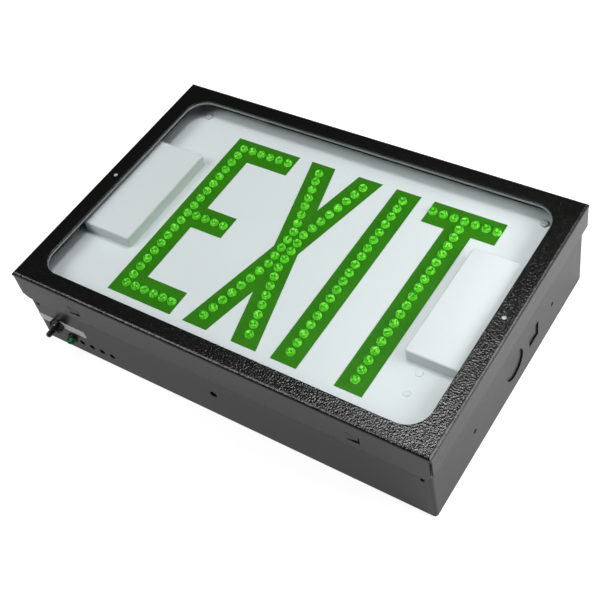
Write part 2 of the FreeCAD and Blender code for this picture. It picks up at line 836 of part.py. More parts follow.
def make_transformer():
    """The supply transformer: laminated core, coil and the strap whose feet are screwed down."""
    x, y, floor = "transformer_x", "transformer_place_y", "housing_gauge"
    core = block("core", x, y, floor, "core_width", "core_height", "core_rise")
    coil = block("coil", x, y, floor + " + (core_rise - coil_rise) / 2", "coil_width", "coil_height",
                 "coil_rise")
    feet = block("feet", x, y, floor, "foot_width", "core_height", "foot_gauge")
    holes = []
    for side in ("-", "+"):
        holes.append(post("foot_hole", "%s %s (foot_width + core_width) / 4" % (x, side), y, "0",
                          "foot_hole_radius", "2 * housing_gauge + foot_gauge"))
    solid = joined("MultiFuse", "transformer_solid", [core, coil, feet])
    keep(cut("transformer", solid, joined("Compound", "foot_holes", holes)), "transformer")


def make_battery():
    """The battery pack: cells side by side."""
    cells = []
    for k in range(CELL_COUNT):
        place = "battery_x + %d * (2 * cell_radius + cell_gap)" % (k - CELL_COUNT // 2)
        cells.append(lying("cell_%d" % k, place, "battery_place_y - cell_length / 2",
                           "housing_gauge + cell_radius", "cell_radius", "cell_length"))
    keep(joined("Compound", "battery_pack", cells), "battery_pack")


def make_battery_strap():
    """The folded strap over the battery pack, with a foot on either side."""
    body = new_body("battery_strap")
    sketch = new_sketch(body, "XZ_Plane", "-1 * battery_place_y")
    half = "((2 * cell_radius + cell_gap) * %d / 2 + strap_clearance)" % CELL_COUNT
    roof, floor = "housing_gauge + 2 * cell_radius + strap_clearance", "housing_gauge"
    under = [("%s + strap_gauge + strap_foot" % half, floor), (half, floor), (half, roof)]
    over = [("%s + strap_gauge" % half, roof + " + strap_gauge"),
            ("%s + strap_gauge" % half, floor + " + strap_gauge"),
            ("%s + strap_gauge + strap_foot" % half, floor + " + strap_gauge")]
    left = [[("battery_x - (%s)" % x, z) for x, z in run] for run in (under, over)]
    right = [[("battery_x + (%s)" % x, z) for x, z in run[::-1]] for run in (under, over)]
    add_polygon(sketch, left[0] + right[0] + right[1] + left[1])
    pad(body, sketch, "strap_width", both_ways=True)


def lying(name, x, y, z, radius, length):
    """A cylinder that lies along Y, from y onwards."""
    cylinder = new_part("Cylinder", name, Radius=radius, Height=length)
    cylinder.Placement = FreeCAD.Placement(Vector(), FreeCAD.Rotation(Vector(1, 0, 0), -90))
    move_to(cylinder, x, y, z)
    return cylinder


def make_terminals():
    """The supply terminal block and the earth screw."""
    x, y, floor = "terminal_place_x", "terminal_place_y", "housing_gauge"
    length = "%d * terminal_pitch" % TERMINAL_COUNT
    base = block("terminal_base", x, y, floor, length, "terminal_width", "terminal_height")
    wells = []
    for k in range(TERMINAL_COUNT):
        place = "%s + %d * terminal_pitch" % (x, k - TERMINAL_COUNT // 2)
        wells.append(block("well_%d" % k, place, y, floor + " + terminal_height / 2",
                           "terminal_well", "terminal_well", "terminal_height"))
    keep(cut("terminal_block", base, joined("Compound", "wells", wells)), "terminal_block")
    keep(hex_post("earth_screw", "earth_place_x", "earth_place_y", floor, "earth_radius", "earth_height"),
         "earth_screw")


# Test switch and pilot lamp


def switch_disc(body, reach, radius, length):
    """A round pad along -Y about the switch's axis, from a reach outside the lower wall."""
    sketch = new_sketch(body, "XZ_Plane", "wall_y + (%s)" % reach)
    add_circle(sketch, "switch_x", "switch_rise", radius)
    return pad(body, sketch, length)


def make_test_switch():
    """The test switch: body inside the wall, bushing through it, nut outside and the sprung button."""
    body = new_body("switch_body")
    box = new_sketch(body, "XZ_Plane", "wall_y - housing_gauge")
    add_rectangle(box, "switch_x", "switch_rise", "switch_body_width", "switch_body_width")
    pad(body, box, "switch_body_length", backwards=True)
    switch_disc(body, "-1 * housing_gauge", "bushing_radius", "housing_gauge + bushing_reach")
    bore = new_sketch(body, "XZ_Plane", "wall_y + bushing_reach")
    add_circle(bore, "switch_x", "switch_rise", "button_radius + button_clearance")
    pocket(body, bore, "bushing_reach + button_tail + 2 * button_travel")

    nut = new_body("switch_nut")
    hexagon = new_sketch(nut, "XZ_Plane", "wall_y")
    corner = "nut_flats / 2 / cos(30)"
    add_regular(hexagon, "switch_x", "switch_rise", corner, 6)
    pad(nut, hexagon, "nut_height")
    thread = new_sketch(nut, "XZ_Plane", "wall_y + nut_height")
    add_circle(thread, "switch_x", "switch_rise", "bushing_hole")
    pocket(nut, thread)

    button = new_body("test_button")
    switch_disc(button, "-1 * button_tail", "button_radius", "button_tail + bushing_reach + button_reach")


def make_pilot_lamp():
    """The pilot lamp and the bezel that holds it in the lower wall."""
    bezel = new_body("pilot_bezel")
    ring = new_sketch(bezel, "XZ_Plane", "wall_y")
    add_regular(ring, "pilot_x", "vent_rise", "bezel_radius", PILOT_SIDES)
    add_regular(ring, "pilot_x", "vent_rise", "pilot_radius + bushing_clearance", PILOT_SIDES)
    pad(bezel, ring, "bezel_height")

    lamp = new_body("pilot_lamp")
    outline = new_sketch(lamp, "XZ_Plane", "wall_y - housing_gauge - pilot_tail")
    add_regular(outline, "pilot_x", "vent_rise", "pilot_radius", PILOT_SIDES)
    pad(lamp, outline, "pilot_tail + housing_gauge + pilot_reach")
    tip = value_of("-1 * (wall_y + pilot_reach)")
    dress(lamp, "Chamfer", edges_where(lamp.Shape, lambda p: near(p.y, tip)), Size="pilot_bevel")


def check_document():
    """Stops if an object failed or a sub-part has no valid solid."""
    for item in doc.Objects:
        if "Invalid" in item.State or "Error" in item.State:
            raise RuntimeError("%s did not build: %s" % (item.Label, item.State))
    for node in nodes:
        if node.Shape.isNull() or not node.Shape.isValid() or not node.Shape.Solids:
            raise RuntimeError("%s has no valid solid" % node.Label)


def export_nodes():
    os.makedirs("parts", exist_ok=True)
    for node in nodes:
        node.Shape.exportStep("parts/%s.step" % node.Label)


fill_sheet()
make_housing()
make_door_frame()
make_lens()
make_lens_clips()
make_cover_brackets()
make_face_panel()
make_panel_rails()
make_panel_screws()
make_arrow_covers()
make_leds()
make_led_board()
make_charger()
make_transformer()
make_battery()
make_battery_strap()
make_terminals()
make_test_switch()
make_pilot_lamp()
doc.recompute()
check_document()
export_nodes()
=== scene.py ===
"""Looks of the emergency exit light: finishes, legend, lamps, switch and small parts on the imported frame."""
import json
import math

import bmesh
import bpy
from mathutils import Matrix, Vector


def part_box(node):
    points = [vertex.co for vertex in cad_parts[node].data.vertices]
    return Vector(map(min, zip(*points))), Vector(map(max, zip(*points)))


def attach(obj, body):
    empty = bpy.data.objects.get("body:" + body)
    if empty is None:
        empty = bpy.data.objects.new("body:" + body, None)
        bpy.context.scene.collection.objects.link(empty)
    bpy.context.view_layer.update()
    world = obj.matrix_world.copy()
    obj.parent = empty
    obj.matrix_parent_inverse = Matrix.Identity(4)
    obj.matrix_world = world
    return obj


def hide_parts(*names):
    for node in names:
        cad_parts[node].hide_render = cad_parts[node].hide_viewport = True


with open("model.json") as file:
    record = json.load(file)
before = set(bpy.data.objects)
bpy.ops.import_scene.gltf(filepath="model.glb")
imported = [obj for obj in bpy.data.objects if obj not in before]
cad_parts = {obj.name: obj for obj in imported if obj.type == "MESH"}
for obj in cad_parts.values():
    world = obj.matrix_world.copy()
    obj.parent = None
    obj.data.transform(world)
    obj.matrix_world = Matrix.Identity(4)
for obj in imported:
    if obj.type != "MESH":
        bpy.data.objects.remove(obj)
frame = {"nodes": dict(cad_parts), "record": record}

MM = 0.001
UP = Vector((0, 0, 1))
OUT = Vector((0, -1, 0))  # away from the lower wall
RING_LAYER = "ring"  # each lamp vertex's share of the rim's radius
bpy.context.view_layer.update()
nodes = frame["nodes"]
scene = bpy.context.scene


def corners(node):
    """Lowest and highest corner of a CAD node, as vectors."""
    low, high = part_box(node)
    return Vector(low), Vector(high)


def middle(node):
    """Middle of a CAD node's box."""
    low, high = corners(node)
    return (low + high) / 2


# Shader helpers


def feed(tree, socket, value):
    """Gives a socket another socket's output, a number, a vector or a colour."""
    if isinstance(value, bpy.types.NodeSocket):
        tree.links.new(value, socket)
    elif socket.type == "RGBA":
        socket.default_value = (*value, 1)
    else:
        socket.default_value = value


def fill_in(tree, node, **values):
    """Feeds the named inputs of a shader node."""
    for name, value in values.items():
        feed(tree, node.inputs[name.replace("_", " ")], value)


def add(tree, kind, **values):
    """A new shader node with some of its inputs fed."""
    node = tree.nodes.new(kind)
    fill_in(tree, node, **values)
    return node


def new_material(name):
    """A node material with its Principled shader."""
    material = bpy.data.materials.new(name)
    material.use_nodes = True
    tree = material.node_tree
    return material, tree, tree.nodes["Principled BSDF"]


def empty_material(name):
    """A node material that has only its output node."""
    material, tree, _ = new_material(name)
    tree.nodes.clear()
    return material, tree, tree.nodes.new("ShaderNodeOutputMaterial")


def noise(tree, scale, detail=4.0, roughness=0.55, stretch=None):
    """Noise over object coordinates, which are metres."""
    place = tree.nodes.new("ShaderNodeTexCoord").outputs["Object"]
    if stretch:
        place = add(tree, "ShaderNodeMapping", Vector=place, Scale=stretch).outputs["Vector"]
    grain = add(tree, "ShaderNodeTexNoise", Vector=place, Scale=scale, Detail=detail, Roughness=roughness)
    return grain.outputs["Fac"]


def ramp(tree, source, stops):
    """A colour ramp; its stops are (place, colour or grey)."""
    node = add(tree, "ShaderNodeValToRGB", Fac=source)
    elements = node.color_ramp.elements
    while len(elements) < len(stops):
        elements.new(0.5)
    for element, (place, colour) in zip(elements, stops):
        element.position = place
        element.color = (*colour, 1) if isinstance(colour, tuple) else (colour, colour, colour, 1)
    return node.outputs["Color"]


def mix(tree, factor, first, second):
    """A colour mix of sockets or plain colours."""
    node = tree.nodes.new("ShaderNodeMix")
    node.data_type = "RGBA"
    factor_socket, first_socket, second_socket = node.inputs[0], node.inputs[6], node.inputs[7]
    feed(tree, factor_socket, factor)
    feed(tree, first_socket, first)
    feed(tree, second_socket, second)
    return node.outputs[2]


def arithmetic(tree, operation, *values):
    """The result of one sum over sockets and numbers."""
    node = tree.nodes.new("ShaderNodeMath")
    node.operation = operation
    for socket, value in zip(node.inputs, values):
        feed(tree, socket, value)
    return node.outputs["Value"]


def bump(tree, shader, height, strength, distance, round_edge=None):
    """Bump from a height socket, over edges softened to a radius."""
    relief = add(tree, "ShaderNodeBump", Height=height, Strength=strength, Distance=distance)
    if round_edge:
        edge = add(tree, "ShaderNodeBevel", Radius=round_edge)
        edge.samples = 6
        fill_in(tree, relief, Normal=edge.outputs["Normal"])
    fill_in(tree, shader, Normal=relief.outputs["Normal"])


# Finishes


def painted(name, colour, roughness, grain, depth, worn=0.08, specular=0.5, round_edge=0.6 * MM):
    """Paint or plastic: slightly uneven tone and gloss, with a fine grain."""
    material, tree, shader = new_material(name)
    cloud = noise(tree, scale=9.0, detail=6.0)
    darker = tuple(channel * (1 - worn) for channel in colour)
    lighter = tuple(min(1.0, channel * (1 + worn)) for channel in colour)
    fill_in(tree, shader,
            Base_Color=ramp(tree, cloud, [(0.35, darker), (0.65, lighter)]),
            Roughness=ramp(tree, cloud, [(0.3, roughness * 0.9), (0.7, roughness * 1.1)]),
            Specular_IOR_Level=specular)
    fine = noise(tree, grain, detail=3.0)
    bump(tree, shader, fine, strength=0.5, distance=depth, round_edge=round_edge)
    return material


def textured_black():
    """Wrinkle-textured black powder coat: soft lumps on the face, which thin out on the upright walls."""
    material, tree, shader = new_material("textured_black")
    surface = tree.nodes.new("ShaderNodeNewGeometry")
    facing = add(tree, "ShaderNodeSeparateXYZ", Vector=surface.outputs["True Normal"])
    lumps = noise(tree, scale=620.0, detail=1.0, roughness=0.5)
    share = ramp(tree, facing.outputs["Z"], [(0.3, 0.12), (0.9, 1.0)])
    fill_in(tree, shader, Base_Color=(0.0032, 0.0038, 0.003), Roughness=0.22, Specular_IOR_Level=0.6)
    height = arithmetic(tree, "MULTIPLY", lumps, share)
    bump(tree, shader, height, strength=1.0, distance=0.4 * MM, round_edge=0.7 * MM)
    return material


def bright_metal(name, colour, roughness, grain=500.0):
    """Bare metal, brushed along one axis."""
    material, tree, shader = new_material(name)
    brushed = noise(tree, grain, detail=5.0, roughness=0.6, stretch=(1.0, 0.12, 1.0))
    darker = tuple(channel * 0.86 for channel in colour)
    fill_in(tree, shader,
            Metallic=1.0,
            Base_Color=ramp(tree, brushed, [(0.3, darker), (0.7, colour)]),
            Roughness=ramp(tree, brushed, [(0.3, roughness * 1.2), (0.7, roughness * 0.85)]))
    bump(tree, shader, brushed, strength=0.3, distance=0.03 * MM, round_edge=0.4 * MM)
    return material


def clear_sheet():
    """Clear plastic: light passes straight through, with a faint sheen that grows at a slant."""
    material, tree, out = empty_material("clear_lens")
    through = add(tree, "ShaderNodeBsdfTransparent", Color=(0.99, 0.995, 0.993))
    gloss = add(tree, "ShaderNodeBsdfGlossy", Color=(1, 1, 1), Roughness=0.3)
    slant = add(tree, "ShaderNodeLayerWeight", Blend=0.5)
    sheen = ramp(tree, slant.outputs["Facing"], [(0.0, 0.001), (0.6, 0.003), (1.0, 0.5)])
    haze = ramp(tree, noise(tree, scale=11.0, detail=3.0), [(0.3, 0.0), (0.7, 0.3)])
    both = tree.nodes.new("ShaderNodeMixShader")
    feed(tree, both.inputs[0], mix(tree, haze, sheen, (0.0, 0.0, 0.0)))
    feed(tree, both.inputs[1], through.outputs["BSDF"])
    feed(tree, both.inputs[2], gloss.outputs["BSDF"])
    fill_in(tree, out, Surface=both.outputs["Shader"])
    return material


def circuit_board():
    """Green board with a faint pattern of tracks."""
    material, tree, shader = new_material("circuit_board")
    place = tree.nodes.new("ShaderNodeTexCoord").outputs["Object"]
    tracks = add(tree, "ShaderNodeTexBrick", Vector=place, Scale=120.0, Color1=(0.02, 0.16, 0.05),
                 Color2=(0.015, 0.12, 0.04), Mortar=(0.05, 0.24, 0.09))
    fill_in(tree, shader, Base_Color=tracks.outputs["Color"], Roughness=0.35)
    bump(tree, shader, noise(tree, scale=900.0), strength=0.3, distance=0.04 * MM)
    return material


def legend_green():
    """The green of the letters: a matt film with a slightly uneven tone."""
    material, tree, shader = new_material("legend_green")
    fine = noise(tree, scale=900.0, detail=3.0)
    tone = mix(tree, 0.5, noise(tree, scale=26.0, detail=5.0), fine)
    fill_in(tree, shader,
            Base_Color=ramp(tree, tone, [(0.35, (0.022, 0.165, 0.002)), (0.65, (0.034, 0.225, 0.004))]),
            Roughness=0.5,
            Specular_IOR_Level=0.12)
    bump(tree, shader, fine, strength=0.4, distance=0.06 * MM)
    return material


def lamp_green(name, deep, bright, glint, glow):
    """Tinted lamp body with painted highlights: brighter at the rim and the tip, deeper in the ring between,
    and a few spots of painted glints.
    """
    material, tree, shader = new_material(name)
    rings = tree.nodes.new("ShaderNodeVertexColor")
    rings.layer_name = RING_LAYER
    glint_noise = noise(tree, scale=480.0, detail=2.0)
    tone = ramp(tree, rings.outputs["Color"],
                [(0.0, bright), (0.22, bright), (0.4, deep), (0.66, deep), (0.82, bright)])
    # painted glints: the brightest spots of the noise take the glint colour
    colour = mix(tree, ramp(tree, glint_noise, [(0.5, 0.0), (0.64, 0.7)]), tone, glint)
    fill_in(tree, shader, Base_Color=colour, Emission_Color=colour, Emission_Strength=glow,
            Roughness=0.5, Specular_IOR_Level=0.12)
    bump(tree, shader, glint_noise, strength=0.2, distance=0.05 * MM)
    return material


materials = {
    "textured_black": textured_black(),
    "black_paint": painted("black_paint", (0.017, 0.0185, 0.0175), roughness=0.3, grain=1400.0,
                           depth=0.01 * MM, worn=0.1, specular=0.55, round_edge=1.0 * MM),
    "white_paint": painted("white_paint", (0.74, 0.79, 0.805), roughness=0.5, grain=1200.0,
                           depth=0.012 * MM, worn=0.015, specular=0.25),
    "clear_lens": clear_sheet(),
    "zinc_steel": bright_metal("zinc_steel", (0.78, 0.79, 0.8), roughness=0.42),
    "white_plastic": painted("white_plastic", (0.7, 0.74, 0.75), roughness=0.5, grain=700.0,
                             depth=0.02 * MM, worn=0.012, specular=0.2),
    "led_green": lamp_green("led_green", deep=(0.02, 0.25, 0.004), bright=(0.1, 0.62, 0.015),
                            glint=(0.3, 1.0, 0.12), glow=0.25),
    "circuit_board": circuit_board(),
    "black_plastic": painted("black_plastic", (0.012, 0.012, 0.013), roughness=0.34, grain=900.0,
                             depth=0.03 * MM),
    "core_steel": bright_metal("core_steel", (0.42, 0.43, 0.45), roughness=0.45, grain=900.0),
    "battery_wrap": painted("battery_wrap", (0.03, 0.1, 0.26), roughness=0.3, grain=600.0, depth=0.02 * MM),
    "earth_green": painted("earth_green", (0.03, 0.3, 0.08), roughness=0.4, grain=700.0, depth=0.02 * MM),
}
extra = {
    "legend_green": legend_green(),
    # pale grey that paints the highlight line along the inside of the window's lip
    "bead_highlight_grey": painted("bead_highlight_grey", (0.27, 0.29, 0.3), roughness=0.35, grain=900.0,
                         depth=0.01 * MM, worn=0.05),
    "pale_label": painted("pale_label", (0.9, 0.92, 0.9), roughness=0.45, grain=900.0,
                          depth=0.01 * MM, worn=0.1),
    # the pilot lamp's dome has the same painted highlights and glints
    "pilot_green": lamp_green("pilot_green", deep=(0.004, 0.07, 0.025), bright=(0.02, 0.24, 0.09),
                              glint=(0.12, 0.6, 0.35), glow=0.02),
    # black that paints the shade on the knockouts' step walls
    "knockout_painted_shade": painted("knockout_painted_shade", (0.002, 0.002, 0.002), roughness=0.9, grain=900.0,
                         depth=0.01 * MM, worn=0.1, specular=0.1),
    "dull_zinc": painted("dull_zinc", (0.5, 0.52, 0.53), roughness=0.4, grain=900.0,
                         depth=0.02 * MM, worn=0.12),
    "blackened_steel": painted("blackened_steel", (0.012, 0.012, 0.013), roughness=0.16, grain=900.0,
                               depth=0.02 * MM, worn=0.15, specular=0.8),
}


def finish_of(part):
    """The lens clips are blackened; every other part has the finish of its slot."""
    if part["node"] == "lens_clips":
        return extra["blackened_steel"]
    return materials[part["material_slot"]]


def dress_nodes():
    """Gives every CAD node its finish."""
    for part in frame["record"]["subparts"]:
        if part["node"] not in nodes:
            continue
        slots = nodes[part["node"]].data.materials
        if not slots:
            slots.append(finish_of(part))
        for k in range(len(slots)):
            slots[k] = finish_of(part)


# Mesh helpers

SHARP_ANGLE = math.radians(38)
ROUNDING = [math.radians(turn) for turn in range(15, 90, 15)]  # steps between a dome's side and its tip


def new_piece(name, mesh_maker, material, body="box", stands_for=(), smooth=True):
    """A piece of the object made in mesh code, tied to the body that it moves with."""
    shape = bmesh.new()
    mesh_maker(shape)
    bmesh.ops.recalc_face_normals(shape, faces=shape.faces)
    mesh = bpy.data.meshes.new(name)
    shape.to_mesh(mesh)
    shape.free()
    mesh.materials.append(material)
    if smooth:
        mesh.shade_smooth()
        mesh.set_sharp_from_angle(angle=SHARP_ANGLE)
    piece = bpy.data.objects.new(name, mesh)
    scene.collection.objects.link(piece)
    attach(piece, body)
    if stands_for:
        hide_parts(*stands_for)


def fan(shape, ring, tip):
    """Faces from a closed ring to one point."""
    for k in range(len(ring)):
        shape.faces.new((ring[k], ring[(k + 1) % len(ring)], tip))


def band(shape, first, second):
    """Faces between two closed rings with the same number of points."""
    for k in range(len(first)):
        following = (k + 1) % len(first)
        shape.faces.new((first[k], first[following], second[following], second[k]))


def join(shape, rings):
    """Faces between each ring and the next; a ring of one point is a tip."""
    for first, second in zip(rings, rings[1:]):
        if len(second) == 1:
            fan(shape, first, second[0])
        elif len(first) == 1:
            fan(shape, second, first[0])
        else:
            band(shape, first, second)


def circle_points(radius, count):
    """Points of a circle about the origin, or the origin alone where there is no radius."""
    if radius == 0:
        return [(0, 0)]
    angles = [2 * math.pi * k / count for k in range(count)]
    return [(radius * math.cos(angle), radius * math.sin(angle)) for angle in angles]


def rounded_outline(half_x, half_y, radius, steps=6):
    """Points of a rectangle with round corners, about the origin."""
    points = []
    for k, (side_x, side_y) in enumerate(((1, 1), (-1, 1), (-1, -1), (1, -1))):
        for step in range(steps + 1):
            angle = math.pi / 2 * (k + step / steps)
            points.append((side_x * (half_x - radius) + radius * math.cos(angle),
                           side_y * (half_y - radius) + radius * math.sin(angle)))
    return points


def turned(shape, profile, place, axis=UP, sides=24, ring_layer=None):
    """Adds a solid turned about an axis; the profile is (radius, height) pairs from the base to the tip."""
    turn = axis.to_track_quat("Z", "Y").to_matrix()
    rings = [[shape.verts.new(place + turn @ Vector((x, y, height))) for x, y in circle_points(radius, sides)]
             for radius, height in profile]
    join(shape, rings)
    if ring_layer is not None:
        rim = max(radius for radius, _ in profile)
        for (radius, _), ring in zip(profile, rings):
            share = radius / rim
            for vertex in ring:
                vertex[ring_layer] = (share, share, share, 1.0)


def connected(start, seen):
    """Places of every vertex that edges join to the first one; their indices are added to those seen."""
    seen.add(start.index)
    waiting, group = [start], []
    while waiting:
        vertex = waiting.pop()
        group.append(vertex.co.copy())
        for edge in vertex.link_edges:
            other = edge.other_vert(vertex)
            if other.index not in seen:
                seen.add(other.index)
                waiting.append(other)
    return group


def islands(node):
    """Lowest and highest corners of each separate solid of a CAD node."""
    shape = bmesh.new()
    shape.from_mesh(nodes[node].data)
    bmesh.ops.remove_doubles(shape, verts=shape.verts, dist=0.001 * MM)
    shape.verts.ensure_lookup_table()
    seen, found = set(), []
    for start in shape.verts:
        if start.index not in seen:
            group = connected(start, seen)
            found.append((Vector([min(place[i] for place in group) for i in range(3)]),
                          Vector([max(place[i] for place in group) for i in range(3)])))
    shape.free()
    return found


def slab(shape, outline, low, high):
    """A flat piece with a closed outline of (x, y) pairs, between two heights."""
    face = shape.faces.new([shape.verts.new((x, y, low)) for x, y in outline])
    raised = bmesh.ops.extrude_face_region(shape, geom=[face])
    for item in raised["geom"]:
        if isinstance(item, bmesh.types.BMVert):
            item.co.z = high
    bmesh.ops.triangulate(shape, faces=[side for side in shape.faces if len(side.verts) > 4])


# The word: green inlays on the panel and the lamps on them

PANEL_TOP = corners("leds_e")[0].z
SUNK = 0.1 * MM   # how far pieces on the panel reach into it
INLAY = 0.3 * MM  # how far the green stands above the panel
HALF = 101.6 * MM  # half the height of a letter
BAR = 25.2 * MM    # width of a level stroke


def crossing(a, b, c, d):
    """Where the line through a and b meets the line through c and d."""
    (ax, ay), (bx, by), (cx, cy), (dx, dy) = a, b, c, d
    cross = (bx - ax) * (dy - cy) - (by - ay) * (dx - cx)
    share = ((cx - ax) * (dy - cy) - (cy - ay) * (dx - cx)) / cross
    return (ax + share * (bx - ax), ay + share * (by - ay))


def outline_e():
    """A stem with two arms and a shorter tongue."""
    left, stem, arm, tongue = -128.1 * MM, -102.9 * MM, -59.6 * MM, -69.9 * MM
    return [(left, -HALF), (arm, -HALF), (arm, BAR - HALF), (stem, BAR - HALF), (stem, -BAR / 2),
            (tongue, -BAR / 2), (tongue, BAR / 2), (stem, BAR / 2), (stem, HALF - BAR), (arm, HALF - BAR),
            (arm, HALF), (left, HALF)]


def outline_x():
    """Two crossed strokes with the notches between them."""
    centre, reach, stroke = -8.8 * MM, 37.2 * MM, 24.6 * MM
    falling = [(centre - reach, HALF), (centre - reach + stroke, HALF),
               (centre + reach, -HALF), (centre + reach - stroke, -HALF)]
    rising = [(centre + reach - stroke, HALF), (centre + reach, HALF),
              (centre - reach + stroke, -HALF), (centre - reach, -HALF)]
    top = crossing(falling[1], falling[2], rising[0], rising[3])
    right = crossing(falling[1], falling[2], rising[1], rising[2])
    low = crossing(falling[0], falling[3], rising[1], rising[2])
    left = crossing(falling[0], falling[3], rising[0], rising[3])
    return [falling[0], falling[1], top, rising[0], rising[1], right, falling[2], falling[3], low,
            rising[2], rising[3], left]


def outline_i():
    """A single stem."""
    left, right = 42.5 * MM, 67.1 * MM
    return [(left, -HALF), (right, -HALF), (right, HALF), (left, HALF)]


def outline_t():
    """A stem under a bar."""
    left, right, stem_left, stem_right = 80.0 * MM, 148.5 * MM, 102.1 * MM, 127.0 * MM
    return [(stem_left, -HALF), (stem_right, -HALF), (stem_right, HALF - BAR), (right, HALF - BAR),
            (right, HALF), (left, HALF), (left, HALF - BAR), (stem_left, HALF - BAR)]


def make_legend():
    """The four letters as thin green inlays."""
    outlines = {"e": outline_e(), "x": outline_x(), "i": outline_i(), "t": outline_t()}
    for letter, outline in outlines.items():
        def fill(shape):
            slab(shape, outline, PANEL_TOP - SUNK, PANEL_TOP + INLAY)
        new_piece("legend_" + letter, fill, extra["legend_green"], smooth=False)


def lamp_profile(radius, height):
    """A flanged barrel with a dome on its upper half."""
    barrel = 0.9 * radius
    profile = [(radius, 0), (radius, 0.16 * height), (0.93 * radius, 0.22 * height), (barrel, 0.5 * height)]
    profile += [(barrel * math.cos(angle), height * (0.5 + 0.5 * math.sin(angle))) for angle in ROUNDING]
    return profile + [(0, height)]


def make_lamps():
    """Each LED as a flanged barrel with a dome; the deeper ring of its colour stands for the reflector cup,
    and its brighter rim and tip are painted highlights.
    """
    for letter in "exit":
        node = "leds_" + letter

        def fill(shape):
            layer = shape.verts.layers.float_color.new(RING_LAYER)
            for low, high in islands(node):
                foot = Vector(((low.x + high.x) / 2, (low.y + high.y) / 2, low.z))
                profile = lamp_profile((high.x - low.x) / 2, high.z - low.z)
                turned(shape, profile, foot, sides=20, ring_layer=layer)
        new_piece("lamps_" + letter, fill, materials["led_green"], stands_for=[node])


def make_lens_highlight_bead():
    """The bead that seals the lens, on the inside of the window's lip; its pale grey is a painted highlight
    line along the lip.
    """
    edge = corners("lens")[1]
    margin, wall, height, radius, steps = 4.0 * MM, 0.25 * MM, 1.8 * MM, 20.0 * MM, 12
    half_x, half_y = edge.x - margin, edge.y - margin
    outer = rounded_outline(half_x, half_y, radius, steps)
    inner = rounded_outline(half_x - wall, half_y - wall, radius - wall, steps)

    def fill(shape):
        levels = ((outer, 0), (outer, height), (inner, height - wall), (inner, 0))
        join(shape, [[shape.verts.new((x, y, edge.z + lift)) for x, y in run] for run, lift in levels])
    new_piece("lens_highlight_bead", fill, extra["bead_highlight_grey"], body="cover")


# Small parts on the panel and the face

HEAD_RINGS = 12
HEAD_SIDES = 48
HEAD_RIM = 0.35      # height of a screw head's edge, as a share of its whole height
RECESS_DEPTH = 0.45  # of the cross in its middle, as a share of the head's height
RECESS_HALF, RECESS_REACH = 0.13, 0.56  # half the width and the reach of an arm, as shares of the radius
SHANK_RADIUS = 2.0 * MM
COVER_SCREW_X = 195.0 * MM
COVER_HEAD_RADIUS, COVER_HEAD_HEIGHT = 2.0 * MM, 1.2 * MM
COVER_HEAD_DROP = 1.3 * MM  # from the face down to the foot of the head
STUD_X = 155.3 * MM
STUD_PLACES_Y = (-62.9 * MM, -82.8 * MM)


def head_lift(x, y, share, radius, height):
    """Height of a pan head at a point, with its cross recess taken out; share runs from middle to rim."""
    half, reach = RECESS_HALF * radius, RECESS_REACH * radius
    lift = height * (HEAD_RIM + (1 - HEAD_RIM) * math.sqrt(1 - share ** 3))
    if (abs(x) < half and abs(y) < reach) or (abs(y) < half and abs(x) < reach):
        lift -= RECESS_DEPTH * height * (1 - share)
    return lift


def cross_head(shape, centre, radius, height):
    """A pan head with a cross recess, in rings from its foot to its middle."""
    rings = [[shape.verts.new(centre + Vector((x, y, 0))) for x, y in circle_points(radius, HEAD_SIDES)]]
    for step in range(HEAD_RINGS, -1, -1):
        share = step / HEAD_RINGS
        rings.append([shape.verts.new(centre + Vector((x, y, head_lift(x, y, share, radius, height))))
                      for x, y in circle_points(radius * share, HEAD_SIDES)])
    join(shape, rings)


def make_panel_screws():
    """The panel's screws, each a head and a plain shank."""
    def fill(shape):
        for low, high in islands("panel_screws"):
            centre = Vector(((low.x + high.x) / 2, (low.y + high.y) / 2, PANEL_TOP))
            cross_head(shape, centre, (high.x - low.x) / 2, high.z - PANEL_TOP)
            foot = low.z - PANEL_TOP
            turned(shape, [(0, foot), (SHANK_RADIUS, foot), (SHANK_RADIUS, 0)], centre)
    new_piece("screw_heads", fill, extra["dull_zinc"], stands_for=["panel_screws"])


def make_cover_screws():
    """Heads of the two screws that hold the cover to its brackets."""
    foot = corners("door_frame")[1].z - COVER_HEAD_DROP

    def fill(shape):
        for place_x in (-COVER_SCREW_X, COVER_SCREW_X):
            cross_head(shape, Vector((place_x, 0, foot)), COVER_HEAD_RADIUS, COVER_HEAD_HEIGHT)
    new_piece("cover_screw_heads", fill, extra["dull_zinc"], body="cover")


def make_studs():
    """Painted-over heads of the studs that are pressed into the panel."""
    profile = [(3.3 * MM, 0), (3.3 * MM, 0.25 * MM), (3.0 * MM, 0.5 * MM), (1.5 * MM, 0.6 * MM),
               (0, 0.62 * MM)]

    def fill(shape):
        for place_y in STUD_PLACES_Y:
            turned(shape, profile, Vector((STUD_X, place_y, PANEL_TOP - SUNK)), sides=32)
    new_piece("stud_heads", fill, materials["white_paint"])


def make_caps():
    """The arrow covers as soft-edged moulded caps."""
    edge, corner_radius, least_radius = 1.6 * MM, 2.2 * MM, 0.4 * MM
    for side in ("left", "right"):
        node = "arrow_cover_" + side
        low, high = corners(node)
        centre = middle(node)
        half_x, half_y, height = (high.x - low.x) / 2, (high.y - low.y) / 2, high.z - low.z
        levels = [(0.0, 0.0)]
        for angle in [0.0, *ROUNDING, math.radians(90)]:
            levels.append((edge * (1 - math.cos(angle)), height - edge * (1 - math.sin(angle))))

        def fill(shape):
            rings = []
            for inset, lift in levels:
                radius = max(corner_radius - inset, least_radius)
                run = rounded_outline(half_x - inset, half_y - inset, radius)
                rings.append([shape.verts.new((centre.x + x, centre.y + y, low.z + lift)) for x, y in run])
            join(shape, rings)
            shape.faces.new(rings[-1])
        new_piece("cap_" + side, fill, materials["white_plastic"], stands_for=[node])


